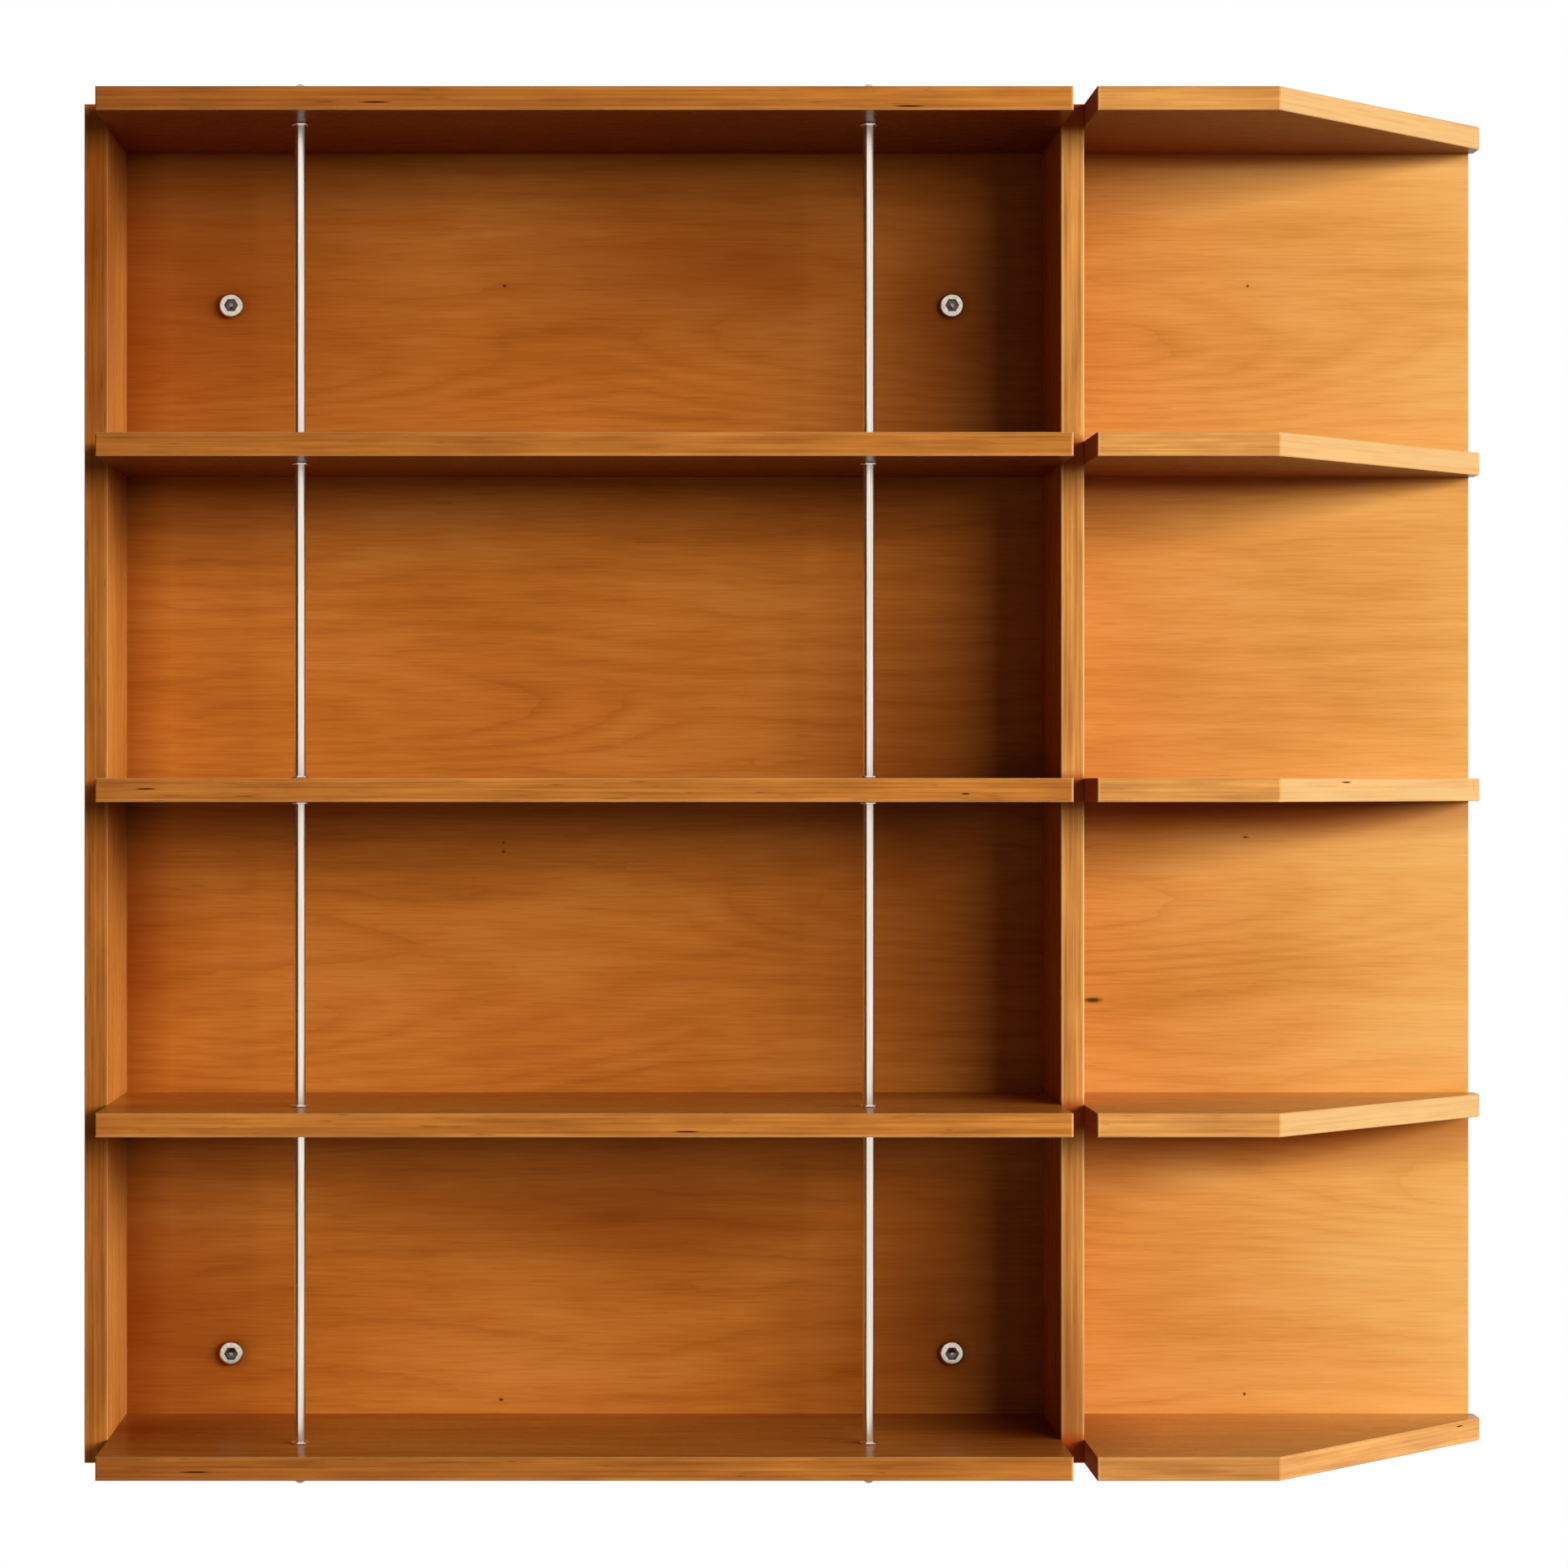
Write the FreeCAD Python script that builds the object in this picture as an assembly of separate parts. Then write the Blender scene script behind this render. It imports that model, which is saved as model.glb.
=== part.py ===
import FreeCAD, Part
import math
import os

# Wall-hung shelving unit of plywood: one back panel, five shelves, two uprights and two
# steel rod lines. Millimetres, +X right, +Z up, front towards -Y. The origin is the centre
# of the rectangle of wall bolts, on the wall plane, which is the rear face of the panel.

# Boards
BOARD = 20.0             # thickness of the shelves and uprights
PANEL = 12.0             # thickness of the back panel
EASE = 0.8               # chamfer that breaks the sawn edges
LAP_GAP = 0.1            # play on each side of a board in its slot

# Main bay and tiers
BAY_WIDTH = 820.0        # clear width between the uprights
TOP_TIER = 270.0         # clear height under the top shelf
UPPER_TIER = 270.0       # and so on down
LOWER_TIER = 261.0
BOTTOM_TIER = 268.0
SHELF_DEPTH = 238.0      # panel face to shelf front
UPRIGHT_DEPTH = 147.0    # panel face to upright front
LAP_DEPTH = 73.0         # panel face to the bottoms of the crossing slots

# Open right-hand bay
WING_FRONT = 153.0       # square front beside the middle upright
WING_END = 24.0          # square end left at the tip of the taper
TAPER_ANGLE = 45.0       # degrees between the tapered edge and the panel
TIP_OVERHANG = 4.5       # shelf tip past the side of the panel

# Rod lines: threaded rod, collared spacer tubes, washers and cap nuts
ROD_INSET = 167.0        # upright face to rod axis
ROD_SETBACK = 70.0       # shelf front to rod axis
ROD_D = 6.0              # thread of the tie rod
ROD_GAP = 0.3            # play around the rod in a shelf or washer
THREAD_GAP = 0.1         # play between nut and rod
TUBE_GAP = 0.5           # play between rod and tube
TUBE_WALL = 1.5
COLLAR_LIP = 2.5         # ring at each end of a tube, past its outside
COLLAR_T = 2.0
END_WASHER_D = 18.0      # washer under each cap nut
END_WASHER_T = 1.6
NUT_FLATS = 10.0         # cap nut, across the flats
NUT_HEX_H = 5.0
NUT_NECK_D = 9.4         # round closed end over the hexagon
NUT_H = 12.0
NUT_BEVEL = 1.4          # bevel round the closed end
ROD_GRIP = 8.0           # thread inside a nut

# Wall bolts
BOLT_INSET_LEFT = 94.0   # left upright face to the left bolts
BOLT_INSET_RIGHT = 81.0  # middle upright face to the right bolts
BOLT_RISE = 54.5         # bottom shelf to the lower bolts
BOLT_DROP = 136.5        # top shelf to the upper bolts
BOLT_D = 10.0            # thread in the wall
BOLT_REACH = 45.0        # threaded end behind the panel
SHOULDER_D = 12.0        # plain part of the bolt inside the panel
SHOULDER_GAP = 0.3       # play around it
BOLT_HEAD_D = 22.0
BOLT_HEAD_H = 7.0
BOLT_HEAD_BEVEL = 1.2
SOCKET_FLATS = 10.0      # hexagon socket, across the flats
SOCKET_DEPTH = 4.5

SHELF_NAMES = ["top_shelf", "upper_shelf", "middle_shelf", "lower_shelf", "bottom_shelf"]
UP = FreeCAD.Vector(0, 0, 1)
BACK = FreeCAD.Vector(0, 1, 0)
ALONG = FreeCAD.Vector(1, 0, 0)

# Depths, from the wall
PANEL_FACE = -PANEL
SHELF_FRONT = PANEL_FACE - SHELF_DEPTH
UPRIGHT_FRONT = PANEL_FACE - UPRIGHT_DEPTH
LAP_LINE = PANEL_FACE - LAP_DEPTH
ROD_Y = SHELF_FRONT + ROD_SETBACK

# Widths, from the middle of the bolt pattern
BOLT_SPACING_X = BAY_WIDTH - BOLT_INSET_LEFT - BOLT_INSET_RIGHT
BOLT_X = [-BOLT_SPACING_X / 2, BOLT_SPACING_X / 2]
BAY_LEFT = BOLT_X[0] - BOLT_INSET_LEFT
BAY_RIGHT = BOLT_X[1] + BOLT_INSET_RIGHT
LEFT_SIDE = BAY_LEFT - BOARD
WING_LEFT = BAY_RIGHT + BOARD
FOLD_X = WING_LEFT + WING_FRONT
TIP_X = FOLD_X + (SHELF_DEPTH - WING_END) / math.tan(math.radians(TAPER_ANGLE))
PANEL_RIGHT = TIP_X - TIP_OVERHANG
ROD_X = {"left": BAY_LEFT + ROD_INSET, "right": BAY_RIGHT - ROD_INSET}

# Heights, from the middle of the bolt pattern
TIER_HEIGHTS = [TOP_TIER, UPPER_TIER, LOWER_TIER, BOTTOM_TIER]
BOLT_SPACING_Z = sum(TIER_HEIGHTS) + BOARD * (len(TIER_HEIGHTS) - 1) - BOLT_RISE - BOLT_DROP
BOLT_Z = [-BOLT_SPACING_Z / 2, BOLT_SPACING_Z / 2]
BOTTOM = BOLT_Z[0] - BOLT_RISE - BOARD
TOP = BOLT_Z[1] + BOLT_DROP + BOARD
SHELF_Z = [TOP - BOARD * (i + 1) - sum(TIER_HEIGHTS[:i]) for i in range(len(SHELF_NAMES))]

TUBE_BORE = ROD_D + 2 * TUBE_GAP
TUBE_D = TUBE_BORE + 2 * TUBE_WALL


def at(x, y, z):
    return FreeCAD.Vector(x, y, z)


def cylinder(diameter, length, base, axis):
    return Part.makeCylinder(diameter / 2, length, base, axis)


def extruded(points, reach):
    """A prism on a closed outline of straight runs."""
    outline = Part.makePolygon(points + points[:1])
    return Part.Face(outline).extrude(reach)


def turned(profile):
    """A solid of revolution about Z, on a closed outline of (radius, height) points."""
    outline = Part.makePolygon([at(r, 0, z) for r, z in profile + profile[:1]])
    return Part.Face(outline).revolve(at(0, 0, 0), UP, 360)


def hexagon(flats, height):
    """A hexagonal prism standing on the XY plane, with a corner towards +Y."""
    radius = flats / math.sqrt(3)
    angles = [math.radians(90 + 60 * i) for i in range(6)]
    corners = [at(radius * math.cos(a), radius * math.sin(a), 0) for a in angles]
    return extruded(corners, UP * height)


def pointing(shape, axis, base):
    """Turn a shape made along +Z to lie along an axis, and move it to its base point."""
    placed = shape.copy()
    placed.Placement = FreeCAD.Placement(base, FreeCAD.Rotation(UP, axis))
    return placed


def eased(board, wanted):
    """Break the edges of a board whose two end points both pass the test."""
    edges = [e for e in board.Edges if all(wanted(v.Point) for v in e.Vertexes)]
    return board.makeChamfer(EASE, edges)


def shelf(z):
    """One shelf: slots from the front for both uprights, a tapered right end, bores for the rods."""
    left_slot = BAY_LEFT + LAP_GAP
    outline = [
        (LEFT_SIDE, PANEL_FACE), (TIP_X, PANEL_FACE), (TIP_X, PANEL_FACE - WING_END),
        (FOLD_X, SHELF_FRONT),
        (WING_LEFT + LAP_GAP, SHELF_FRONT), (WING_LEFT + LAP_GAP, LAP_LINE),
        (BAY_RIGHT - LAP_GAP, LAP_LINE), (BAY_RIGHT - LAP_GAP, SHELF_FRONT),
        (left_slot, SHELF_FRONT), (left_slot, LAP_LINE), (LEFT_SIDE, LAP_LINE),
    ]
    board = extruded([at(x, y, z) for x, y in outline], UP * BOARD)
    board = eased(board, lambda p: p.y < UPRIGHT_FRONT or p.x > PANEL_RIGHT)
    bores = [cylinder(ROD_D + 2 * ROD_GAP, BOARD, at(x, ROD_Y, z), UP) for x in ROD_X.values()]
    return board.cut(bores)


def upright(left):
    """One upright: full height, slotted from its rear edge for the five shelves."""
    outline = [(PANEL_FACE, BOTTOM), (UPRIGHT_FRONT, BOTTOM), (UPRIGHT_FRONT, TOP), (PANEL_FACE, TOP)]
    board = extruded([at(left, y, z) for y, z in outline], ALONG * BOARD)
    board = eased(board, lambda p: p.y < LAP_LINE)
    slot_h = BOARD + 2 * LAP_GAP
    slots = [Part.makeBox(BOARD, LAP_DEPTH, slot_h, at(left, LAP_LINE, z - LAP_GAP)) for z in SHELF_Z]
    return board.cut(slots)


def at_bolts(y):
    return [at(x, y, z) for x in BOLT_X for z in BOLT_Z]


def back_panel():
    """One sheet behind both bays, bored for the wall bolts."""
    blank = Part.makeBox(PANEL_RIGHT - LEFT_SIDE, PANEL, TOP - BOTTOM, at(LEFT_SIDE, PANEL_FACE, BOTTOM))
    blank = eased(blank, lambda p: p.y > PANEL_FACE / 2 or p.x > FOLD_X)
    bore_d = SHOULDER_D + 2 * SHOULDER_GAP
    return blank.cut([cylinder(bore_d, PANEL, p, BACK) for p in at_bolts(PANEL_FACE)])


def wall_bolt():
    """A shoulder bolt along +Z from under its low round head, with a hexagon socket in the head."""
    head, shoulder, core = BOLT_HEAD_D / 2, SHOULDER_D / 2, BOLT_D / 2
    profile = [
        (0, -BOLT_HEAD_H), (head - BOLT_HEAD_BEVEL, -BOLT_HEAD_H), (head, BOLT_HEAD_BEVEL - BOLT_HEAD_H),
        (head, 0), (shoulder, 0), (shoulder, PANEL), (core, PANEL),
        (core, PANEL + BOLT_REACH), (0, PANEL + BOLT_REACH),
    ]
    socket = hexagon(SOCKET_FLATS, SOCKET_DEPTH)
    return turned(profile).cut(pointing(socket, UP, at(0, 0, -BOLT_HEAD_H)))


def cap_nut():
    """A closed nut standing on the XY plane: hexagon, round bevelled end, blind thread from below."""
    neck = NUT_NECK_D / 2
    end = turned([(0, 0), (neck, 0), (neck, NUT_H - NUT_BEVEL), (neck - NUT_BEVEL, NUT_H), (0, NUT_H)])
    thread = cylinder(ROD_D + 2 * THREAD_GAP, ROD_GRIP + THREAD_GAP, at(0, 0, 0), UP)
    return hexagon(NUT_FLATS, NUT_HEX_H).fuse(end).removeSplitter().cut(thread)


def end_washer():
    hole, rim = ROD_D / 2 + ROD_GAP, END_WASHER_D / 2
    return turned([(hole, 0), (rim, 0), (rim, END_WASHER_T), (hole, END_WASHER_T)])


def tie_rod(x):
    end = END_WASHER_T + ROD_GRIP
    return cylinder(ROD_D, TOP - BOTTOM + 2 * end, at(x, ROD_Y, BOTTOM - end), UP)


def spacer_tube(x, tier):
    """One tube with a collar at each end, standing on its shelf and reaching the next."""
    bore, wall, collar = TUBE_BORE / 2, TUBE_D / 2, TUBE_D / 2 + COLLAR_LIP
    length = TIER_HEIGHTS[tier]
    tube = turned([
        (bore, 0), (collar, 0), (collar, COLLAR_T), (wall, COLLAR_T),
        (wall, length - COLLAR_T), (collar, length - COLLAR_T), (collar, length), (bore, length),
    ])
    return pointing(tube, UP, at(x, ROD_Y, SHELF_Z[tier + 1] + BOARD))


def rod_ends(piece, gap):
    """Two of a piece on each rod line, standing off the top shelf and the bottom shelf by a gap."""
    upper = [pointing(piece, UP, at(x, ROD_Y, TOP + gap)) for x in ROD_X.values()]
    lower = [pointing(piece, -UP, at(x, ROD_Y, BOTTOM - gap)) for x in ROD_X.values()]
    return upper + lower


def save(node, solids):
    Part.makeCompound(solids).exportStep("parts/%s.step" % node)


os.makedirs("parts", exist_ok=True)

save("back_panel", [back_panel()])
save("left_upright", [upright(LEFT_SIDE)])
save("middle_upright", [upright(BAY_RIGHT)])
for name, height in zip(SHELF_NAMES, SHELF_Z):
    save(name, [shelf(height)])

for side, rod_x in ROD_X.items():
    save("%s_tie_rod" % side, [tie_rod(rod_x)])
    for number in range(len(TIER_HEIGHTS)):
        save("%s_tube_%d" % (side, number + 1), [spacer_tube(rod_x, number)])
save("end_washers", rod_ends(end_washer(), 0))
save("cap_nuts", rod_ends(cap_nut(), END_WASHER_T))
save("wall_bolts", [pointing(wall_bolt(), BACK, p) for p in at_bolts(PANEL_FACE)])
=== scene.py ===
"""Looks of a wall-hung plywood shelving unit with steel rod lines, dressed on its solids.

Metres in the frame of the solids: +X right, +Z up, front towards -Y, the wall at Y = 0.
"""
import math

import bpy
import numpy as np
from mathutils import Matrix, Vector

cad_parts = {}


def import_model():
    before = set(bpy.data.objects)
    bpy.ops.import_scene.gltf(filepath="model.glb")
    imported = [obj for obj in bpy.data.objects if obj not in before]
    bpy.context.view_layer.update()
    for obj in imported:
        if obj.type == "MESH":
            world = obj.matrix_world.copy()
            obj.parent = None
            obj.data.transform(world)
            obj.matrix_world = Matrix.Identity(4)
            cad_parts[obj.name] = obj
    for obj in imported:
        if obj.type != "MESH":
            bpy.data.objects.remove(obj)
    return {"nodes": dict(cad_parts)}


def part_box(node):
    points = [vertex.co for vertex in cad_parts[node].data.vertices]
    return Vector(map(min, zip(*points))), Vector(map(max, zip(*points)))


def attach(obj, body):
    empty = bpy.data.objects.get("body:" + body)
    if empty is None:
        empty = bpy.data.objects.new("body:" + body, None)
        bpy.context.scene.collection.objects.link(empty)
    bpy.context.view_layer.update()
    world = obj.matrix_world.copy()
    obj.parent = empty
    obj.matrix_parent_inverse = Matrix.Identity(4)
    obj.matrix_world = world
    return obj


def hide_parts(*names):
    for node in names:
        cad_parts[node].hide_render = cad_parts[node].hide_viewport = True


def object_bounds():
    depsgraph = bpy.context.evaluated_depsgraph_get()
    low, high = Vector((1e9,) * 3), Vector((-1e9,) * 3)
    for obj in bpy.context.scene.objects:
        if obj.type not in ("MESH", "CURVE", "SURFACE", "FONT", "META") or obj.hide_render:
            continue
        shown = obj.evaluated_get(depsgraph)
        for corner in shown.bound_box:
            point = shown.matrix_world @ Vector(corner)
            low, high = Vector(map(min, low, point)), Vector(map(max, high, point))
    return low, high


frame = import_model()
CAD_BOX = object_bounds()
MM = 0.001
X, Y, Z = 0, 1, 2

# The picture, in its own 1932 pixel frame, and the camera that took it
IMAGE = 1932.0
VANISHING_POINT = (720.0, 967.6)   # where lines into the wall meet
FRONT_MM_PER_PIXEL = 0.68          # at the shelf fronts
CAMERA_STANDOFF = 3.418            # camera to the shelf fronts
EYE_OVER_ORIGIN = 0.0395           # eye height over the middle of the wall bolts
SENSOR = 36.0                      # width in millimetres

# Pieces and places of the solids
SHELVES = ["top_shelf", "upper_shelf", "middle_shelf", "lower_shelf", "bottom_shelf"]
UPRIGHTS = ["left_upright", "middle_upright"]
TUBES = ["%s_tube_%d" % (side, tier) for side in ("left", "right") for tier in (1, 2, 3, 4)]
RODS = ["left_tie_rod", "right_tie_rod"]
BAY_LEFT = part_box("left_upright")[1].x
BAY_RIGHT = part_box("middle_upright")[0].x
OPEN_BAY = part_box("middle_upright")[1].x
UPRIGHT_MIDDLE = (BAY_RIGHT + OPEN_BAY) / 2
PAST_SLOTS = OPEN_BAY + 30 * MM    # right of every slot, where an edge that faces sideways is a taper
PANEL_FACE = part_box("back_panel")[0].y
SHELF_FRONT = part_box("top_shelf")[0].y

# Sizes of the metal pieces that their boxes don't give
TUBE_LIP = 2.5 * MM                # collar past the outside of its tube
TUBE_WALL = 1.5 * MM
COLLAR_THICK = 2.0 * MM
COLLAR_ROUND = 0.6 * MM
ROD_HOLE = 3.3 * MM                # radius of the hole in a washer
WASHER_ROUND = 0.4 * MM
NUT_BORE = 3.1 * MM                # radius of the blind thread in a nut
NUT_LEAD = 0.4 * MM                # cone at the mouth of the thread
NUT_GRIP = 8.1 * MM
NUT_FLATS = 10.0 * MM
NUT_BEVEL = 0.6 * MM
NUT_HEX = 5.0 * MM                 # height of the hexagon
NUT_NECK = 4.7 * MM                # radius of the closed end
NUT_STEP = 0.05 * MM               # hexagon to closed end
NUT_DOME = 4.2 * MM
BOLT_HEAD = 11.0 * MM              # radius
BOLT_HEAD_ROUND = 2.2 * MM
BOLT_SHOULDER = 6.0 * MM
BOLT_THREAD = 5.0 * MM
THREAD_PITCH = 1.5 * MM
THREAD_DEPTH = 0.9 * MM
SOCKET_FLATS = 10.0 * MM
SOCKET_DEPTH = 4.5 * MM
SOCKET_POINT = 1.6 * MM            # drill point under the socket's floor
SOCKET_BEVEL = 0.4 * MM
SOCKET_REACH = 5.9 * MM            # radius just past the corners of the hexagon
SEGMENTS = 48                      # around a turned piece, a multiple of six for the hexagons
ANGLES = np.arange(SEGMENTS) * 2.0 * math.pi / SEGMENTS


# Colours and shader nodes

def linear(colour):
    """An sRGB hex colour as linear red, green, blue and alpha."""
    parts = np.array([int(colour[i:i + 2], 16) for i in (1, 3, 5)]) / 255.0
    low = parts / 12.92
    high = ((parts + 0.055) / 1.055) ** 2.4
    return tuple(float(v) for v in np.where(parts <= 0.04045, low, high)) + (1.0,)


def add(tree, kind, sockets=None, out=0, stops=(), **settings):
    """Add a node and give one of its outputs, or the node itself where out is None.

    Settings are its properties, and sockets its inputs, each a value or another node's output.
    Stops are the positions and hex colours of a colour ramp, and settings beside them are the ramp's.
    """
    node = tree.nodes.new("ShaderNode" + kind)
    holder = node.color_ramp if stops else node
    for name, value in settings.items():
        setattr(holder, name, value)
    for key, value in (sockets or {}).items():
        if isinstance(value, bpy.types.NodeSocket):
            tree.links.new(value, node.inputs[key])
        else:
            node.inputs[key].default_value = value
    for _ in stops[2:]:
        holder.elements.new(0.5)
    for number, (position, colour) in enumerate(stops):
        holder.elements[number].position = position
        holder.elements[number].color = linear(colour)
    return node if out is None else node.outputs[out]


def new_material(name):
    material = bpy.data.materials.new(name)
    material.use_nodes = True
    material.node_tree.nodes.clear()
    return material, material.node_tree


def streaks(tree, place, sizes_mm, seed, detail):
    """Soft noise whose features have these sizes in millimetres, so that it draws out along the grain."""
    moved = add(tree, "Mapping", {
        "Vector": place,
        "Location": (seed * 3.7, seed * 5.3, seed * 7.9),
        "Scale": [1.0 / (size * MM) for size in sizes_mm],
    })
    return add(tree, "TexNoise", {"Vector": moved, "Scale": 1.0, "Detail": detail, "Roughness": 0.55})


def spots(tree, place, centres_and_halves, core, rim):
    """A mask of soft ellipsoids, each given by its centre and half sizes in millimetres.

    Each is full out to the core and gone at the rim, both as shares of the half sizes.
    """
    mask = None
    for centre, half in centres_and_halves:
        unit = add(tree, "Mapping", {
            "Vector": place,
            "Location": [v * MM for v in centre],
            "Scale": [v * MM for v in half],
        }, vector_type="TEXTURE")
        reach = add(tree, "VectorMath", {0: unit}, "Value", operation="LENGTH")
        spot = add(tree, "MapRange", {0: reach, 1: core, 2: rim, 3: 1.0, 4: 0.0})
        mask = spot if mask is None else add(tree, "Math", {0: mask, 1: spot}, operation="MAXIMUM")
    return mask


# Varnished birch plywood

FACE_TONES = [(0.30, "#A35B1B"), (0.50, "#BA6F28"), (0.70, "#C8823A")]
# Paler tones of the open bay: partly daylight fading, partly painted sheen and brighter light towards the
# window
FACE_TONES_FADED_SHEEN = [(0.30, "#D49644"), (0.50, "#E4A95C"), (0.70, "#EAB870")]
PLY_TONES = [(0.0, "#C68540"), (0.12, "#BA7733"), (0.4, "#BE7B35"), (0.6, "#B87532"), (0.8, "#BF7C36")]
PLY_TONES_FADED_SHEEN = [(0.0, "#E1A861"), (0.12, "#DC9E55"), (0.4, "#E0A25A"), (0.6, "#DB9D54"),
                   (0.8, "#E0A35A")]
RING_BROWN = "#702F09"
SAWN_PALE = "#C5A878"       # tapered cuts
BARE_BIRCH_HIGHLIGHT = "#EDC48C"      # arrises and corners, where the varnish has worn off, and painted highlight along those edges
DEEP_AMBER_SHADE = "#722B01"      # dark amber: mostly painted shade, and a deeper tone in patches
SHADE_AMBER = "#642004"     # painted shade on the undersides
UNDER_SHELF_SHADE = "#8C3A04"       # painted shade on the panel under the shelves of the open bay
SLOT_SHADE_RED = "#9C3808"        # painted shade on the walls of the slots, red where they light each other
SOOT = "#340F03"            # knots and open slits

# Features of a face in millimetres, along and across the grain. Birch fibres and vessels are finer
# than the picture can show, so fibres and dashes are drawn coarser.
MOTTLE = (260.0, 100.0)
BANDS = (300.0, 9.0)
FIBRES = (45.0, 1.8)
DASHES = (46.0, 2.2)
RING_SWAY = (420.0, 120.0)
RING_RIPPLE = (60.0, 12.0)
RING_PATCHES = (160.0, 70.0)
RING_SPACING = 30.0
# How many rings the sway, the ripple and a figure can shift the ring lines by
SWAY_RINGS = 3.6
RIPPLE_RINGS = 0.5
FIGURE_RINGS = 5.0
RING_TONE = 0.035           # how far the wood between two ring lines strays from the middle tone

# Features of a sawn edge in millimetres, along and across the plies, the fibres coarser than real ones
PLY_WAVE = (140.0, 30.0)
PLY_FIBRES = (120.0, 2.2)
PLY_BLOTCH = (90.0, 12.0)
PLY_TICKS = (28.0, 2.0)
PLIES = 5.0

# Depths of marks, stains, painted highlight and painted shade, from none at 0 to full at 1
RING_DEPTH = 0.20
DASH_DEPTH = 0.30
GLUE_DEPTH = 0.22
TICK_DEPTH = 0.5
ARRIS_DEPTH = 0.4
CORNER_DEPTH = 0.45
SLOT_WALL_SHADE_DEPTH = 0.8
UNDERSIDE_SHADE_DEPTH = 0.85
FACE_LOSS, EDGE_LOSS = 0.7, 0.55       # share of its dark marks that wood loses at full fading and painted sheen
FADE_SHEEN_STARTS = (0.36, 0.90)             # fading and painted sheen of faces and of edges where the open bay begins
TAPER_DEPTH = 0.75                     # how pale a tapered cut is
TAPER_DEPTHS = {"bottom_shelf": 0.25}  # where not as the others
# How dark each board's edges are: at the left and at the right of the main bay, and in the open bay. Their
# rise towards the right is painted light from the window.
EDGE_LIGHT_TONES = {
    "top_shelf": (0.59, 1.06, 0.90), "upper_shelf": (0.76, 1.03, 0.96), "middle_shelf": (0.85, 1.01, 0.96),
    "lower_shelf": (0.87, 1.05, 0.91), "bottom_shelf": (0.60, 0.90, 0.78),
    "left_upright": (0.78, 0.78, 0.78), "middle_upright": (0.95, 0.95, 0.95), "back_panel": (0.9, 0.9, 0.9),
}
CORNER_WEAR_HIGHLIGHT = 2.6           # half width in millimetres of the pale wear and painted highlight beside the middle upright
PAST_BOARD = 5000.0         # half size in millimetres of a spot that runs on past its board

FACE_ROUGHNESS, EDGE_ROUGHNESS, FIBRE_ROUGHNESS = 0.17, 0.43, 0.25
FIBRE_RELIEF = 0.15 * MM
VARNISH_SPECULAR = 0.04     # old varnish, which hardly mirrors


def along(grain, long, across):
    """Feature sizes on X, Y and Z, long on the axis that the grain follows."""
    return [long if axis == grain else across for axis in (X, Y, Z)]


def in_plies(thick, long, thin):
    """Feature sizes on X, Y and Z, thin on the axis across the plies."""
    return [thin if axis == thick else long for axis in (X, Y, Z)]


def bleached_with_sheen(tree, x, start):
    """Share of fading by daylight, and of painted sheen and light towards the window: none in the main bay,
    then from a start to full at the tip.
    """
    step = add(tree, "MapRange", {0: x, 1: BAY_RIGHT, 2: OPEN_BAY, 3: 0.0, 4: start})
    rise = add(tree, "MapRange", {0: x, 1: OPEN_BAY, 2: CAD_BOX[1][X], 3: 0.0, 4: 1.0 - start})
    return add(tree, "Math", {0: step, 1: rise})


def calmed(tree, dark, fade_sheen, loss):
    """Weaken dark marks where daylight fading and painted sheen pale the wood, by a loss at full fading."""
    keep = add(tree, "Math", {0: fade_sheen, 1: -loss, 2: 1.0}, operation="MULTIPLY_ADD")
    return add(tree, "Math", {0: dark, 1: keep}, operation="MULTIPLY")


def ring_height(tree, place, level, grain, seed, figures):
    """Growth rings as level lines: a height that climbs across the grain and sways with slow noise.

    It also rises over each figure, whose long ellipses end in the arches of a cathedral pattern.
    """
    sway = streaks(tree, place, along(grain, *RING_SWAY), seed + 3.4, 1.5)
    ripple = streaks(tree, place, along(grain, *RING_RIPPLE), seed + 3.9, 2.0)
    height = add(tree, "Math", {0: level, 1: 1.0 / (RING_SPACING * MM)}, operation="MULTIPLY")
    height = add(tree, "Math", {0: sway, 1: SWAY_RINGS, 2: height}, operation="MULTIPLY_ADD")
    height = add(tree, "Math", {0: ripple, 1: RIPPLE_RINGS, 2: height}, operation="MULTIPLY_ADD")
    for figure in figures:
        rise = spots(tree, place, [figure], 0.0, 1.0)
        height = add(tree, "Math", {0: rise, 1: FIGURE_RINGS, 2: height}, operation="MULTIPLY_ADD")
    return height


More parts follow.
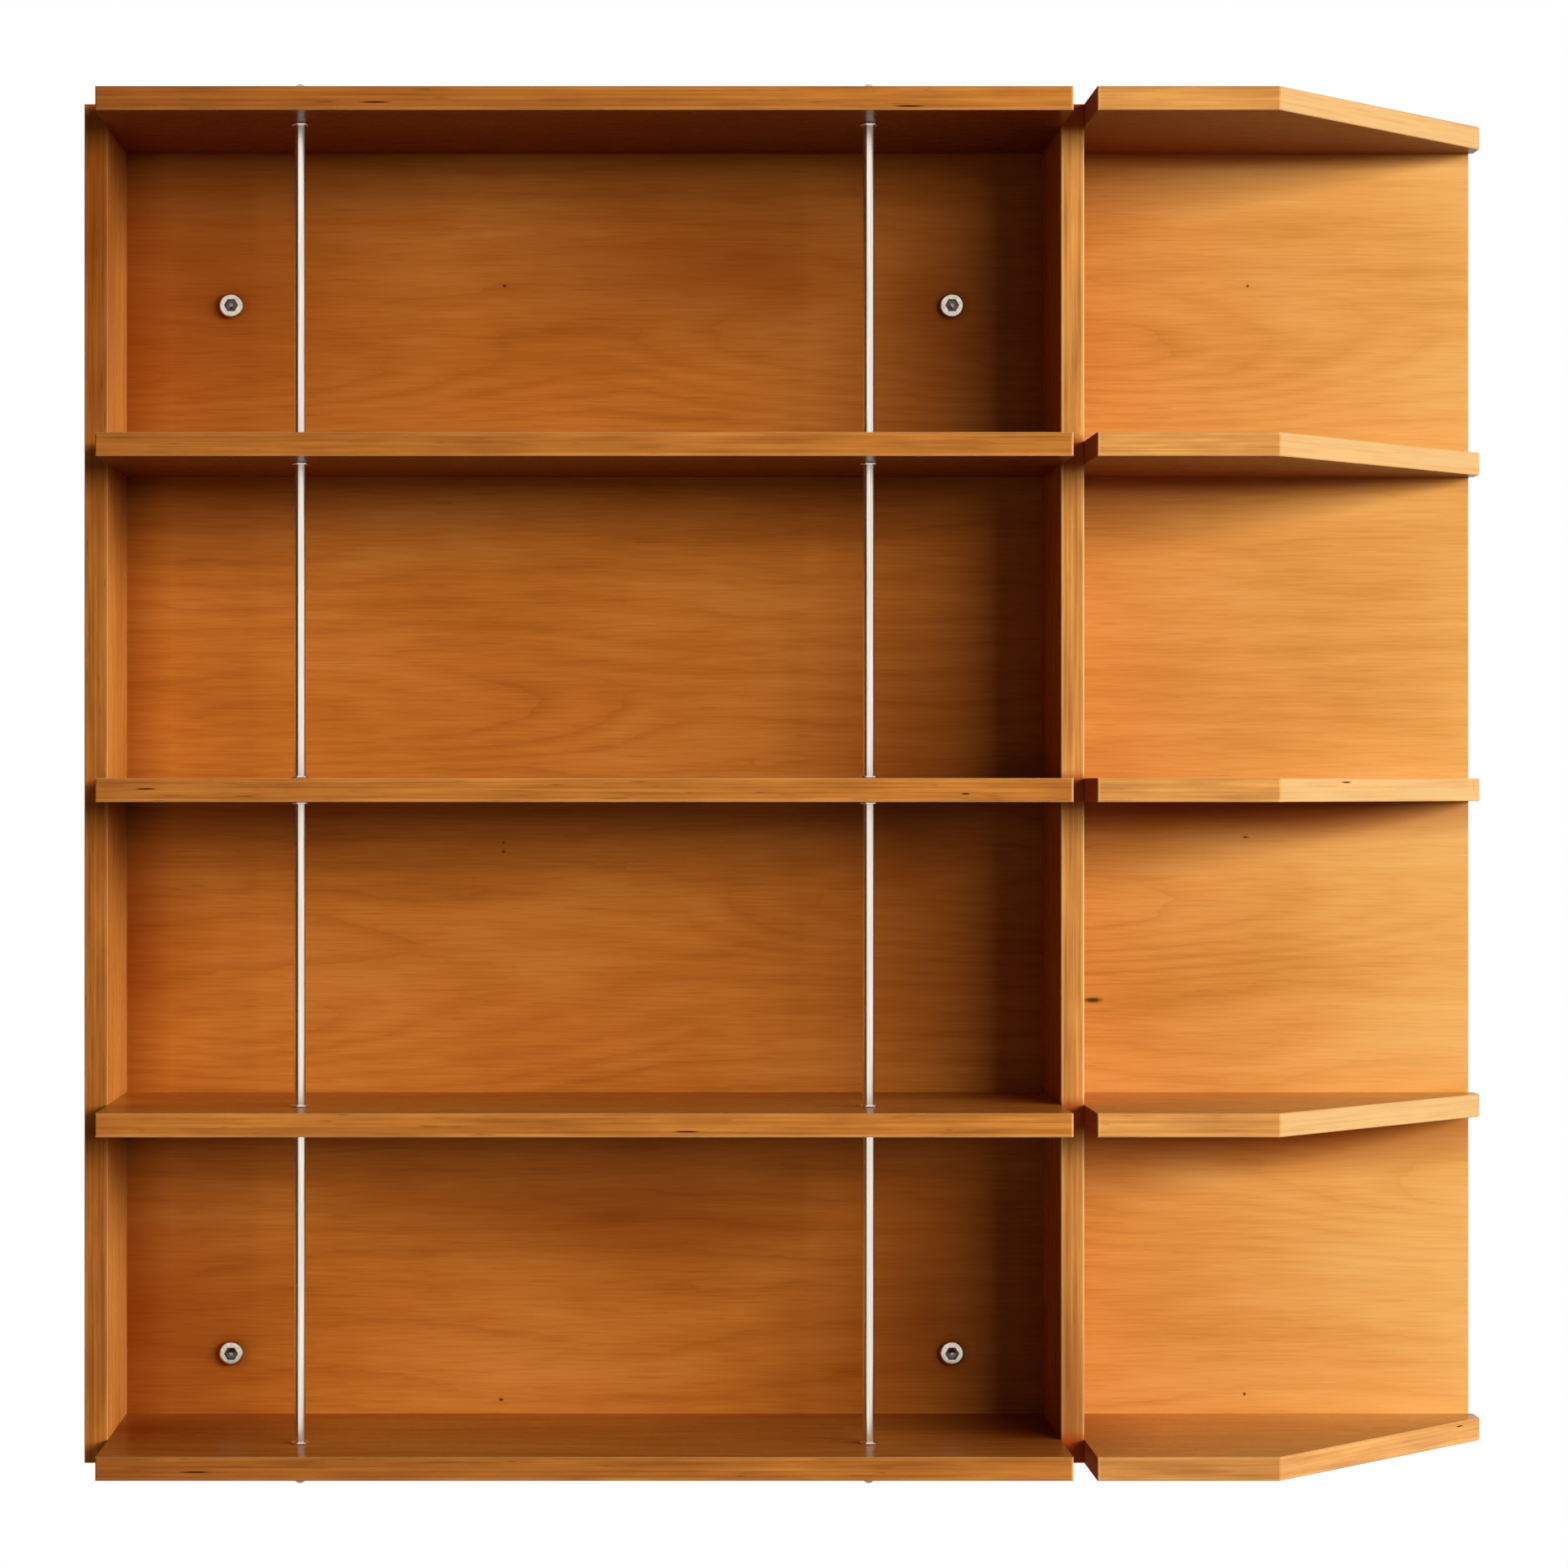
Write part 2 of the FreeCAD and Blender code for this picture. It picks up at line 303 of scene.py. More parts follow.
def veneer(tree, place, level, grain, seed, fade_sheen, figures):
    """Colour of a rotary-cut face: cloudy mottle, bands, fibres, soft growth rings and short dark dashes."""
    mottle = streaks(tree, place, along(grain, *MOTTLE), seed, 2.0)
    bands = streaks(tree, place, along(grain, *BANDS), seed + 1.3, 3.0)
    fibres = streaks(tree, place, along(grain, *FIBRES), seed + 2.1, 3.0)
    ring = add(tree, "Math", {0: ring_height(tree, place, level, grain, seed, figures)}, operation="FRACT")
    season = add(tree, "Math", {0: ring, 1: 0.5}, operation="PINGPONG")
    tone = add(tree, "MapRange", {0: season, 1: 0.0, 2: 0.5, 3: -RING_TONE, 4: RING_TONE})
    for part, weight in ((mottle, 0.55), (bands, 0.10), (fibres, 0.35)):
        tone = add(tree, "Math", {0: part, 1: weight, 2: tone}, operation="MULTIPLY_ADD")
    fresh = add(tree, "ValToRGB", {0: tone}, stops=FACE_TONES)
    pale = add(tree, "ValToRGB", {0: tone}, stops=FACE_TONES_FADED_SHEEN)
    colour = add(tree, "Mix", {0: fade_sheen, 6: fresh, 7: pale}, 2, data_type="RGBA")

    line = add(tree, "Math", {0: ring, 1: 5.0}, operation="POWER")
    patchy = streaks(tree, place, along(grain, *RING_PATCHES), seed + 4.6, 1.0)
    patchy = add(tree, "MapRange", {0: patchy, 1: 0.40, 2: 0.62, 3: 0.0, 4: RING_DEPTH})
    dark = add(tree, "Math", {0: line, 1: patchy}, operation="MULTIPLY")
    dashes = streaks(tree, place, along(grain, *DASHES), seed + 9.1, 1.0)
    dashes = add(tree, "MapRange", {0: dashes, 1: 0.63, 2: 0.78, 3: 0.0, 4: DASH_DEPTH})
    dark = add(tree, "Math", {0: dark, 1: dashes}, operation="MAXIMUM")
    dark = calmed(tree, dark, fade_sheen, FACE_LOSS)
    colour = add(tree, "Mix", {0: dark, 6: colour, 7: linear(RING_BROWN)}, 2, data_type="RGBA")
    return colour, fibres


def ply_edge(tree, place, span, thick, seed, fade_sheen):
    """Colour of a sawn edge: five plies, thin glue lines, streaks along the cut, ticks, and pale arrises of
    wear and painted highlight.
    """
    wave = streaks(tree, place, in_plies(thick, *PLY_WAVE), seed + 5.2, 1.0)
    drift = add(tree, "Math", {0: wave, 1: 0.10, 2: -0.05}, operation="MULTIPLY_ADD")
    level = add(tree, "Math", {0: span, 1: drift})
    fresh = add(tree, "ValToRGB", {0: level}, stops=PLY_TONES, interpolation="CONSTANT")
    pale = add(tree, "ValToRGB", {0: level}, stops=PLY_TONES_FADED_SHEEN, interpolation="CONSTANT")
    colour = add(tree, "Mix", {0: fade_sheen, 6: fresh, 7: pale}, 2, data_type="RGBA")

    fibres = streaks(tree, place, in_plies(thick, *PLY_FIBRES), seed + 6.8, 3.0)
    blotch = streaks(tree, place, in_plies(thick, *PLY_BLOTCH), seed + 7.7, 3.0)
    shade = add(tree, "Math", {0: fibres, 1: blotch})
    shade = add(tree, "MapRange", {0: shade, 1: 0.65, 2: 1.35, 3: 0.68, 4: 1.32})
    redder = add(tree, "Math", {0: shade, 1: 1.25}, operation="POWER")
    shade = add(tree, "CombineXYZ", {0: shade, 1: redder, 2: redder})
    colour = add(tree, "Mix", {0: 1.0, 6: colour, 7: shade}, 2, data_type="RGBA", blend_type="MULTIPLY")

    count = add(tree, "Math", {0: level, 1: PLIES}, operation="MULTIPLY")
    glue = add(tree, "Math", {0: count, 1: 0.5}, operation="PINGPONG")
    glue = add(tree, "MapRange", {0: glue, 1: 0.03, 2: 0.14, 3: GLUE_DEPTH, 4: 0.0})
    ticks = streaks(tree, place, in_plies(thick, *PLY_TICKS), seed + 8.3, 1.0)
    ticks = add(tree, "MapRange", {0: ticks, 1: 0.66, 2: 0.78, 3: 0.0, 4: TICK_DEPTH})
    dark = add(tree, "Math", {0: glue, 1: ticks}, operation="MAXIMUM")
    dark = calmed(tree, dark, fade_sheen, EDGE_LOSS)
    colour = add(tree, "Mix", {0: dark, 6: colour, 7: linear(RING_BROWN)}, 2, data_type="RGBA")
    # Pale arrises: wear, and painted highlight along the edges
    off_middle = add(tree, "Math", {0: span, 1: 0.5}, operation="SUBTRACT")
    off_middle = add(tree, "Math", {0: off_middle}, operation="ABSOLUTE")
    arris = add(tree, "MapRange", {0: off_middle, 1: 0.45, 2: 0.49, 3: 0.0, 4: ARRIS_DEPTH})
    colour = add(tree, "Mix", {0: arris, 6: colour, 7: linear(BARE_BIRCH_HIGHLIGHT)}, 2, data_type="RGBA")
    return colour, fibres


def edge_finish(tree, place, x, sideways, colour, fibres, node):
    """Tone of one board's edges: lighter to the right as painted light, pale wear with painted highlight at
    the corners by the middle upright, pale tapers, and painted shade in red on the slot walls.
    """
    left, right, open_bay = EDGE_LIGHT_TONES[node]
    beyond = add(tree, "Math", {0: x, 1: UPRIGHT_MIDDLE}, operation="GREATER_THAN")
    shade = add(tree, "MapRange", {0: x, 1: BAY_LEFT, 2: BAY_RIGHT, 3: left, 4: right})
    shade = add(tree, "Mix", {0: beyond, 2: shade, 3: open_bay})
    redder = add(tree, "Math", {0: shade, 1: 1.3}, operation="POWER")
    shade = add(tree, "CombineXYZ", {0: shade, 1: redder, 2: redder})
    colour = add(tree, "Mix", {0: 1.0, 6: colour, 7: shade}, 2, data_type="RGBA", blend_type="MULTIPLY")
    corners = [((side / MM, 0, 0), (CORNER_WEAR_HIGHLIGHT, PAST_BOARD, PAST_BOARD)) for side in (BAY_RIGHT, OPEN_BAY)]
    worn_highlight = spots(tree, place, corners, 0.4, 1.0)
    worn_highlight = add(tree, "Math", {0: worn_highlight, 1: CORNER_DEPTH}, operation="MULTIPLY")
    colour = add(tree, "Mix", {0: worn_highlight, 6: colour, 7: linear(BARE_BIRCH_HIGHLIGHT)}, 2, data_type="RGBA")

    past_slots = add(tree, "Math", {0: x, 1: PAST_SLOTS}, operation="GREATER_THAN")
    pale = TAPER_DEPTHS.get(node, TAPER_DEPTH)
    taper = add(tree, "MapRange", {0: sideways, 1: 0.3, 2: 0.7, 3: 0.0, 4: pale})
    taper = add(tree, "Math", {0: taper, 1: past_slots}, operation="MULTIPLY")
    torn = add(tree, "MapRange", {0: fibres, 1: 0.3, 2: 0.7, 3: 0.6, 4: 1.3})
    taper = add(tree, "Math", {0: taper, 1: torn}, operation="MULTIPLY", use_clamp=True)
    # Painted shade in red on the walls of the slots
    wall = add(tree, "Math", {0: sideways}, operation="ABSOLUTE")
    wall = add(tree, "MapRange", {0: wall, 1: 0.8, 2: 0.95, 3: 0.0, 4: SLOT_WALL_SHADE_DEPTH})
    wall = add(tree, "Math", {0: wall, 1: past_slots}, operation="SUBTRACT", use_clamp=True)
    colour = add(tree, "Mix", {0: wall, 6: colour, 7: linear(SLOT_SHADE_RED)}, 2, data_type="RGBA")
    colour = add(tree, "Mix", {0: taper, 6: colour, 7: linear(SAWN_PALE)}, 2, data_type="RGBA")
    return colour, wall


def birch_plywood(node, thick, grain, seed, fade=None, figures=(), stains_and_shades=()):
    """Birch plywood, rotary cut, glued and varnished to a satin honey colour.

    The eye sees calm figure on the faces, plies and glue lines on the sawn edges, and a paler
    tone in the open bay, partly daylight fading and partly painted sheen. Each of the marks and
    painted shades that it is given is a colour, its depth, where its spots are full and gone, the
    spots themselves, and in some a height in millimetres that it stays below. The seed sets a board's noise
    apart from the others'.
    """
    material, tree = new_material("birch_plywood_" + node)
    low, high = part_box(node)
    across = ({X, Y, Z} - {thick, grain}).pop()
    place = add(tree, "TexCoord", None, "Object")
    xyz = add(tree, "SeparateXYZ", {0: place}, None).outputs
    normal = add(tree, "SeparateXYZ", {0: add(tree, "NewGeometry", None, "Normal")}, None).outputs
    # fade, where given, is the fading and painted sheen of faces and of edges
    if fade:
        face_fade_sheen, edge_fade_sheen = fade
    else:
        face_fade_sheen, edge_fade_sheen = (bleached_with_sheen(tree, xyz[X], start) for start in FADE_SHEEN_STARTS)
        rear = add(tree, "Math", {0: normal[Y], 1: 0.5}, operation="GREATER_THAN")
        face_fade_sheen = add(tree, "Math", {0: face_fade_sheen, 1: rear}, operation="SUBTRACT", use_clamp=True)
    face, face_fibres = veneer(tree, place, xyz[across], grain, seed, face_fade_sheen, figures)
    ends = (high, low) if thick == X else (low, high)
    span = add(tree, "MapRange", {0: xyz[thick], 1: ends[0][thick], 2: ends[1][thick], 3: 0.0, 4: 1.0})
    edge, edge_fibres = ply_edge(tree, place, span, thick, seed, edge_fade_sheen)
    edge, wall = edge_finish(tree, place, xyz[X], normal[X], edge, edge_fibres, node)

    # Painted shade on the undersides of the boards
    under = add(tree, "MapRange", {0: normal[Z], 1: -0.9, 2: -0.85, 3: UNDERSIDE_SHADE_DEPTH, 4: 0.0})
    face = add(tree, "Mix", {0: under, 6: face, 7: linear(SHADE_AMBER)}, 2, data_type="RGBA")
    flat = add(tree, "Math", {0: normal[thick]}, operation="ABSOLUTE")
    flat = add(tree, "Math", {0: flat, 1: 0.85}, operation="GREATER_THAN")
    colour = add(tree, "Mix", {0: flat, 6: edge, 7: face}, 2, data_type="RGBA")
    # Knots, slits and painted shade, each mixed over the colour
    for mark_colour, depth, core, rim, places, *ceiling in stains_and_shades:
        mask = spots(tree, place, places, core, rim)
        mask = add(tree, "Math", {0: mask, 1: depth}, operation="MULTIPLY")
        for height in ceiling:
            below = add(tree, "Math", {0: xyz[Z], 1: height * MM}, operation="LESS_THAN")
            mask = add(tree, "Math", {0: mask, 1: below}, operation="MULTIPLY")
        colour = add(tree, "Mix", {0: mask, 6: colour, 7: linear(mark_colour)}, 2, data_type="RGBA")

    fibres = add(tree, "Mix", {0: flat, 2: edge_fibres, 3: face_fibres})
    satin = add(tree, "Mix", {0: flat, 2: EDGE_ROUGHNESS, 3: FACE_ROUGHNESS})
    rough = add(tree, "Math", {0: fibres, 1: FIBRE_ROUGHNESS, 2: satin}, operation="MULTIPLY_ADD")
    matt = add(tree, "Math", {0: flat, 1: -1.0, 2: 1.0}, operation="MULTIPLY_ADD")
    matt = add(tree, "Math", {0: matt, 1: wall}, operation="MULTIPLY")
    rough = add(tree, "Mix", {0: matt, 2: rough, 3: 1.0})
    bump = add(tree, "Bump", {"Height": fibres, "Strength": 0.25, "Distance": FIBRE_RELIEF})
    shader = add(tree, "BsdfPrincipled", {
        "Base Color": colour, "Roughness": rough, "Normal": bump,
        "Specular IOR Level": VARNISH_SPECULAR,
    })
    add(tree, "OutputMaterial", {0: shader}, None)
    return material


# Boards: places in millimetres

# Pin knots of the panel: X, Z, half width and half height
PIN_KNOTS = [(-78, 487, 2.0, 1.6), (-79, -20, 1.8, 1.6), (-79, -12, 1.3, 1.3), (-81, -511, 2.4, 1.5),
             (588, 487, 1.5, 1.3), (586, -7, 3.2, 1.1), (585, -506, 1.6, 1.6), (449, -153, 9.0, 2.6)]
# Long ellipses of growth-ring figure on the panel: X and Z of the middle, and half sizes
FIGURES = [(430, -80, 350, 64), (400, 420, 385, 75), (-290, 100, 360, 58), (-330, -180, 430, 80),
           (800, -330, 420, 75), (-440, 400, 480, 58)]
# Darker amber clouds on the panel, X and Z of the middle and half sizes: at the right of the main bay the
# painted shadow of the middle upright, elsewhere a darker tone in patches
AMBER_SHADE_CLOUDS = [(-360, 500, 340, 280), (120, 505, 420, 105), (305, 460, 165, 260), (300, -430, 150, 260),
                (-400, -430, 160, 240), (285, 0, 135, 330), (20, -345, 320, 70), (-420, -90, 90, 120)]
CORNER_SHADE = 40.0          # half width of the painted shade on the panel beside the left upright
BOLT_SHADOW = 19.0           # reach of the painted shadow ring around a bolt
# Half sizes into the panel of its stains, painted shade, knots and figures
SKIN, KNOT_DEEP, FIGURE_DEEP = 9.0, 4.0, 60.0
# Painted shade on the panel under the open bay's upper four shelves: half heights and depths
UNDER_SHELF_SHADES = [(16, 0.7), (18, 0.7), (42, 0.85), (60, 0.9)]
UNDER_SHELF_MIDDLE, UNDER_SHELF_HALF = 600.0, 300.0    # X and half width of them all
# Painted shade in the rear corners of the bottom shelf, at the right the middle upright's shadow: X and Y of
# the middle, and half sizes
CORNER_SHADE_CLOUDS = [(370, -100, 130, 180), (-400, -100, 180, 140)]
# Open slits between plies at a shelf's front: X, Y and Z of the middle, and half length
CORE_VOIDS = {
    "top_shelf": [(265.5, -250, 608.6, 14.0), (-182, -250, 612.0, 15.0)],
    "middle_shelf": [(-374, -250, 36.5, 10.0), (313, -250, 32.4, 4.0), (645, -182, 42.0, 8.0)],
    "lower_shelf": [(79, -250, -250.8, 12.0)],
    "bottom_shelf": [(-333, -250, -536.0, 14.0), (768, -59, -527.5, 5.0)],
}
VOID_DEEP, VOID_TALL = 9.0, 0.8        # half sizes of a slit
# The left and the middle upright: fading and painted sheen of faces and edges, and depth of the painted
# shade in red in their slots
UPRIGHT_FADE_SHEEN = [(0.23, 0.0), (0.0, 0.55)]
SLOT_SHADE_DEPTH = [0.15, 0.8]
SLOT_SHADE_BAND = 16.0            # half height of that painted shade, about the middle of a shelf
# Painted shade at the head of the left upright and at the foot of the middle one: middle and half sizes
UPRIGHT_SHADE_CLOUDS = [((-416, -159, 500), (300, 120, 230)), ((413, -159, -560), (60, 120, 280))]
# Shade on the left upright under each shelf: behind its front, below the shelf, and half sizes
SHADE_BACK, SHADE_DROP, SHADE_HALF = 75, 25, (30, 170, 90)


def dress(node, material):
    frame["nodes"][node].material_slots[0].material = material


def bolt_places():
    """X and Z of the four wall bolts."""
    low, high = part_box("wall_bolts")
    return [(x, z) for x in (low.x + BOLT_HEAD, high.x - BOLT_HEAD)
            for z in (low.z + BOLT_HEAD, high.z - BOLT_HEAD)]


def panel_stains_and_shades():
    """Amber clouds of tone and painted shadow, painted shade in a corner, painted shadow rings around the
    bolts, pin knots, and painted shade under the open bay's shelves.
    """
    face = PANEL_FACE / MM
    clouds = [((x, face, z), (w, SKIN, h)) for x, z, w, h in AMBER_SHADE_CLOUDS]
    corner = [((BAY_LEFT / MM, face, 0), (CORNER_SHADE, SKIN, PAST_BOARD))]
    bolt_shadows = [((x / MM, face, z / MM), (BOLT_SHADOW, SKIN, BOLT_SHADOW)) for x, z in bolt_places()]
    knots = [((x, face, z), (w, KNOT_DEEP, h)) for x, z, w, h in PIN_KNOTS]
    stains_and_shades = [(DEEP_AMBER_SHADE, 0.64, 0.0, 1.0, clouds), (DEEP_AMBER_SHADE, 0.55, 0.1, 1.0, corner),
              (DEEP_AMBER_SHADE, 0.6, 0.4, 1.0, bolt_shadows), (SOOT, 0.88, 0.45, 1.2, knots)]
    for shelf, (half, depth) in zip(SHELVES, UNDER_SHELF_SHADES):
        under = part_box(shelf)[0].z / MM
        shelf_shade = ((UNDER_SHELF_MIDDLE, face, under), (UNDER_SHELF_HALF, SKIN, half))
        stains_and_shades.append((UNDER_SHELF_SHADE, depth, 0.35, 1.0, [shelf_shade], under))
    return stains_and_shades


def shelf_stains_and_shades(node):
    """Open slits at the front, and painted shade in the rear corners of the bottom shelf."""
    slits = [((x, y, z), (half, VOID_DEEP, VOID_TALL)) for x, y, z, half in CORE_VOIDS.get(node, [])]
    stains_and_shades = [(SOOT, 1.0, 0.55, 1.1, slits)] if slits else []
    if node == "bottom_shelf":
        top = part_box(node)[1].z / MM
        corners = [((x, y, top), (w, d, SKIN)) for x, y, w, d in CORNER_SHADE_CLOUDS]
        stains_and_shades.append((DEEP_AMBER_SHADE, 0.9, 0.0, 1.0, corners))
    return stains_and_shades


def upright_stains_and_shades(slot_shade_depth):
    """Painted shade at the head and foot of the uprights, in red in the slots, and under each shelf."""
    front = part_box("left_upright")[0].y / MM
    slot_shades = []
    shades = []
    for low, high in map(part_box, SHELVES):
        middle, under = (low.z + high.z) / 2 / MM, low.z / MM
        slot_shades.append(((0, 0, middle), (PAST_BOARD, PAST_BOARD, SLOT_SHADE_BAND)))
        shade = ((BAY_LEFT / MM, front + SHADE_BACK, under - SHADE_DROP), SHADE_HALF)
        shades.append((DEEP_AMBER_SHADE, 0.5, 0.2, 1.0, [shade], under))
    return [(DEEP_AMBER_SHADE, 0.55, 0.0, 1.0, UPRIGHT_SHADE_CLOUDS), (SLOT_SHADE_RED, slot_shade_depth, 0.55, 1.1, slot_shades)] + shades


def boards():
    figures = [((x, PANEL_FACE / MM, z), (w, FIGURE_DEEP, h)) for x, z, w, h in FIGURES]
    dress("back_panel", birch_plywood("back_panel", Y, X, 1.0, figures=figures, stains_and_shades=panel_stains_and_shades()))
    for number, node in enumerate(SHELVES):
        dress(node, birch_plywood(node, Z, X, 2.0 + number, stains_and_shades=shelf_stains_and_shades(node)))
    for number, node in enumerate(UPRIGHTS):
        stains_and_shades = upright_stains_and_shades(SLOT_SHADE_DEPTH[number])
        dress(node, birch_plywood(node, X, Z, 8.0 + number, UPRIGHT_FADE_SHEEN[number], stains_and_shades=stains_and_shades))


# Metals

# Colour of the painted shade in the sockets of the bolts
SOCKET_SHADE = "#4A443D"


def cloudy_metal(name, sizes_mm, seed, detail, tones, roughness, shaded_sockets=False):
    """A metal with soft noise that leads from a dark to a pale tone and from one roughness to another.

    One with shaded sockets darkens by the attribute of painted shade on its meshes.
    """
    material, tree = new_material(name)
    place = add(tree, "TexCoord", None, "Object")
    cloud = streaks(tree, place, sizes_mm, seed, detail)
    colour = add(tree, "ValToRGB", {0: cloud}, stops=[(0.3, tones[0]), (0.7, tones[1])])
    if shaded_sockets:
        painted_shade = add(tree, "Attribute", None, "Fac", attribute_name="painted_shade")
        colour = add(tree, "Mix", {0: painted_shade, 6: colour, 7: linear(SOCKET_SHADE)}, 2, data_type="RGBA")
    rough = add(tree, "MapRange", {0: cloud, 1: 0.3, 2: 0.7, 3: roughness[0], 4: roughness[1]})
    shader = add(tree, "BsdfPrincipled", {"Base Color": colour, "Metallic": 1.0, "Roughness": rough})
    add(tree, "OutputMaterial", {0: shader}, None)
    return material


def drawn_steel():
    """Bright drawn steel tube: pale, with fine lines along it, and a satin mirror of what stands around.

    Real draw lines are too fine to show, so these are coarser.
    """
    return cloudy_metal("bright_drawn_steel", (1.2, 1.2, 70.0), 3.0, 2.0, ("#E4D8CA", "#FDF4E8"),
                        (0.29, 0.21))


def zinc_plated_steel():
    """Zinc-plated steel fasteners: pale cloudy grey with a satin gloss, and painted shade in the sockets."""
    return cloudy_metal("zinc_plated_steel", (2.5, 2.5, 2.5), 4.0, 3.0, ("#C0B3A2", "#E4D7C6"), (0.15, 0.25),
                        shaded_sockets=True)


def yellow_zinc_steel():
    """Yellow-passivated steel of the small wood screws: a cloudy straw colour with a satin gloss."""
    return cloudy_metal("yellow_zinc_steel", (1.5, 1.5, 1.5), 5.0, 2.0, ("#A8874A", "#CBB070"), (0.28, 0.42))


# Turned and hexagonal pieces

def ring_stack(radii, heights, bored=False):
    """A closed surface about +Z on a grid of rings and angles, as points, quads and triangles.

    Point (i, j) has radius r[i, j], height h[i, j] and angle 2 pi j / n. The rings run from the
    middle of the underside, out, up and in again. A fan closes the first and the last ring, or
    in a bored piece the last ring joins the first, which makes the wall of the bore.
    """
    radii, heights = np.broadcast_arrays(np.asarray(radii, float), np.asarray(heights, float))
    grid = np.stack([radii * np.cos(ANGLES), radii * np.sin(ANGLES), heights], axis=2).reshape(-1, 3)
    index = np.arange(radii.size).reshape(radii.shape)
    lower, upper = (index, np.roll(index, -1, axis=0)) if bored else (index[:-1], index[1:])
    quads = np.stack([lower, np.roll(lower, -1, axis=1), np.roll(upper, -1, axis=1), upper], axis=2)
    quads = quads.reshape(-1, 4)
    if bored:
        return grid, quads, np.empty((0, 3), int)
    middles = np.array([[0.0, 0.0, heights[0].mean()], [0.0, 0.0, heights[-1].mean()]])
    first, last = np.full((2, SEGMENTS), radii.size) + np.array([[0], [1]])
    fans = [np.stack([first, np.roll(index[0], -1), index[0]], axis=1),
            np.stack([last, index[-1], np.roll(index[-1], -1)], axis=1)]
    return np.vstack([grid, middles]), quads, np.vstack(fans)


def rings(profile):
    """Round rings from (radius, height) points, as one array of radii and one of heights."""
    profile = np.asarray(profile, float)
    return np.repeat(profile[:, :1], SEGMENTS, axis=1), np.repeat(profile[:, 1:], SEGMENTS, axis=1)


def hexagon(flats):
    """Radius of a hexagon by angle: r = (flats / 2) / cos(angle from the middle of the nearest flat)."""
    off_flat = np.mod(ANGLES, math.pi / 3.0) - math.pi / 6.0
    return flats / 2.0 / np.cos(off_flat)


def rounded(profile, corners, radius, steps=4):
    """Replace numbered corners of a profile by parabolas that start and end at radius from the corner."""
    share = np.linspace(0.0, 1.0, steps + 1)[:, None]
    result = []
    for i, point in enumerate(profile):
        here = np.array(point, float)
        if i not in corners:
            result.append(here[None])
            continue
        before = np.array(profile[i - 1]) - here
        after = np.array(profile[i + 1]) - here
        start = here + before / np.linalg.norm(before) * radius
        end = here + after / np.linalg.norm(after) * radius
        result.append((1 - share) ** 2 * start + 2 * share * (1 - share) * here + share ** 2 * end)
    return np.vstack(result)


def placed(shape, base, axis):
    """Move a shape made about +Z to a base point, pointing along +Z, -Z or +Y."""
    points, quads, triangles = shape
    turn = {"+Z": ((1, 0, 0), (0, 1, 0), (0, 0, 1)), "-Z": ((1, 0, 0), (0, -1, 0), (0, 0, -1)),
            "+Y": ((1, 0, 0), (0, 0, 1), (0, -1, 0))}[axis]
    return points @ np.array(turn, float).T + np.array(base, float), quads, triangles


def joined_mesh(name, shapes):
    """One mesh of several shapes, smooth but for its hard edges."""
    starts = np.cumsum([0] + [len(points) for points, _, _ in shapes[:-1]])
    faces = []
    for start, (_, quads, triangles) in zip(starts, shapes):
        faces += (quads + start).tolist() + (triangles + start).tolist()
    mesh = bpy.data.meshes.new(name)
    mesh.from_pydata(np.vstack([points for points, _, _ in shapes]).tolist(), [], faces)
    mesh.update()
    mesh.polygons.foreach_set("use_smooth", np.ones(len(mesh.polygons), bool))
    mesh.set_sharp_from_angle(angle=math.radians(32))
    return mesh


def piece(name, shapes, material, replaced=(), painted_shade=None):
    """One object of several shapes, riding on the unit and standing for the named solids.

    Painted shade, where given, is one value for each vertex of a shape, from none at 0 to dark at 1.
    """
    mesh = joined_mesh(name, shapes)
    mesh.materials.append(material)
    if painted_shade is not None:
        values = np.tile(np.asarray(painted_shade, np.float32), len(shapes))
        mesh.attributes.new("painted_shade", "FLOAT", "POINT").data.foreach_set("value", values)
    obj = bpy.data.objects.new(name, mesh)
    bpy.context.scene.collection.objects.link(obj)
    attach(obj, "root")
    if replaced:
        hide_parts(*replaced)


def spacer_tube(node, steel):
    """A tube with a rounded collar at each end, in the place of its solid."""
    low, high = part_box(node)
    collar = (high.x - low.x) / 2
    wall = collar - TUBE_LIP
    bore = wall - TUBE_WALL
    length = high.z - low.z
    foot = [(bore, 0), (collar, 0), (collar, COLLAR_THICK), (wall, COLLAR_THICK)]
    profile = foot + [(radius, length - height) for radius, height in reversed(foot)]
    shape = ring_stack(*rings(rounded(profile, {1, 2, 5, 6}, COLLAR_ROUND)), bored=True)
    base = ((low.x + high.x) / 2, (low.y + high.y) / 2, low.z)
    piece(node + "_turned", [placed(shape, base, "+Z")], steel, [node])


def cap_nut(height):
    """A closed nut: a blind bore, a hexagon cut by end cones, r = min(hexagon, cone), and a dome."""
    flat, corner = NUT_FLATS / 2, NUT_FLATS / math.sqrt(3.0)
    bore = rings([(NUT_BORE, NUT_GRIP), (NUT_BORE, NUT_LEAD), (NUT_BORE + NUT_LEAD, 0.0)])
    share = np.linspace(0.0, 1.0, 5)[:, None]
    cone = np.minimum(hexagon(NUT_FLATS), flat + share * (corner - flat))
    rise = np.repeat(share * NUT_BEVEL, SEGMENTS, axis=1)
    tilt = np.linspace(0.0, 0.47 * math.pi, 9)
    dome = np.stack([NUT_NECK * np.cos(tilt), height - NUT_DOME + NUT_DOME * np.sin(tilt)], axis=1)
    end = rings(np.vstack([[(NUT_NECK, NUT_HEX + NUT_STEP)], dome]))
    return ring_stack(np.vstack([bore[0], cone, cone[::-1], end[0]]),
                      np.vstack([bore[1], rise, NUT_HEX - rise[::-1], end[1]]))


def end_washer(rim, thick):
    """A flat washer with a rounded rim."""
    profile = rounded([(ROD_HOLE, 0), (rim, 0), (rim, thick), (ROD_HOLE, thick)], {1, 2}, WASHER_ROUND)
    return ring_stack(*rings(profile), bored=True)


